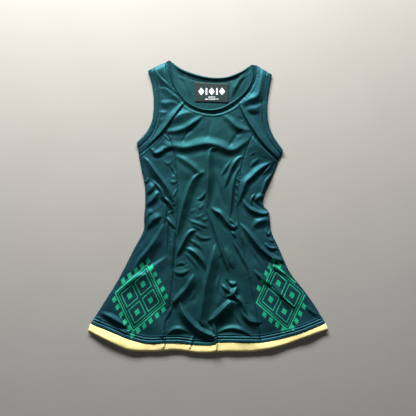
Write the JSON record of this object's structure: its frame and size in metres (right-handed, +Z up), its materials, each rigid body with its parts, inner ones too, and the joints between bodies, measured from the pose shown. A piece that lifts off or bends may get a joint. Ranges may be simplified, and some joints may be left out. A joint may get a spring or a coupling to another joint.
{
  "type": "sports dress",
  "caption": "Sleeveless knit sports dress laid flat, front up: scoop neck, raglan yoke pieces, long front seams, flared skirt and a pale hem trim.",
  "frame": {"origin": "centre of the garment's outline, on the surface it lies on", "axes": "+Y from hem to neck, +X to the viewer's right as seen from above, +Z up from the surface"},
  "size_m": [0.6216, 0.7604, 0.0163],
  "materials": {
    "front_cloth": "satin knit, dark teal",
    "back_cloth": "matt inner face of the knit, dark teal",
    "trim_cloth": "matt, pale yellow cream",
    "label_cloth": "matt print film, grey green"
  },
  "bodies": {
    "root": {"front_centre_panel": "front_cloth", "front_side_left": "front_cloth", "front_side_right": "front_cloth", "front_yoke_left": "front_cloth", "front_yoke_right": "front_cloth", "neck_binding_front": "front_cloth", "armhole_binding_front_left": "front_cloth", "armhole_binding_front_right": "front_cloth", "back_panel": "back_cloth", "neck_binding_back": "back_cloth", "armhole_binding_back_left": "back_cloth", "armhole_binding_back_right": "back_cloth", "hem_trim_front": "trim_cloth", "hem_trim_back": "trim_cloth", "neck_label": "label_cloth"}
  },
  "joints": []
}
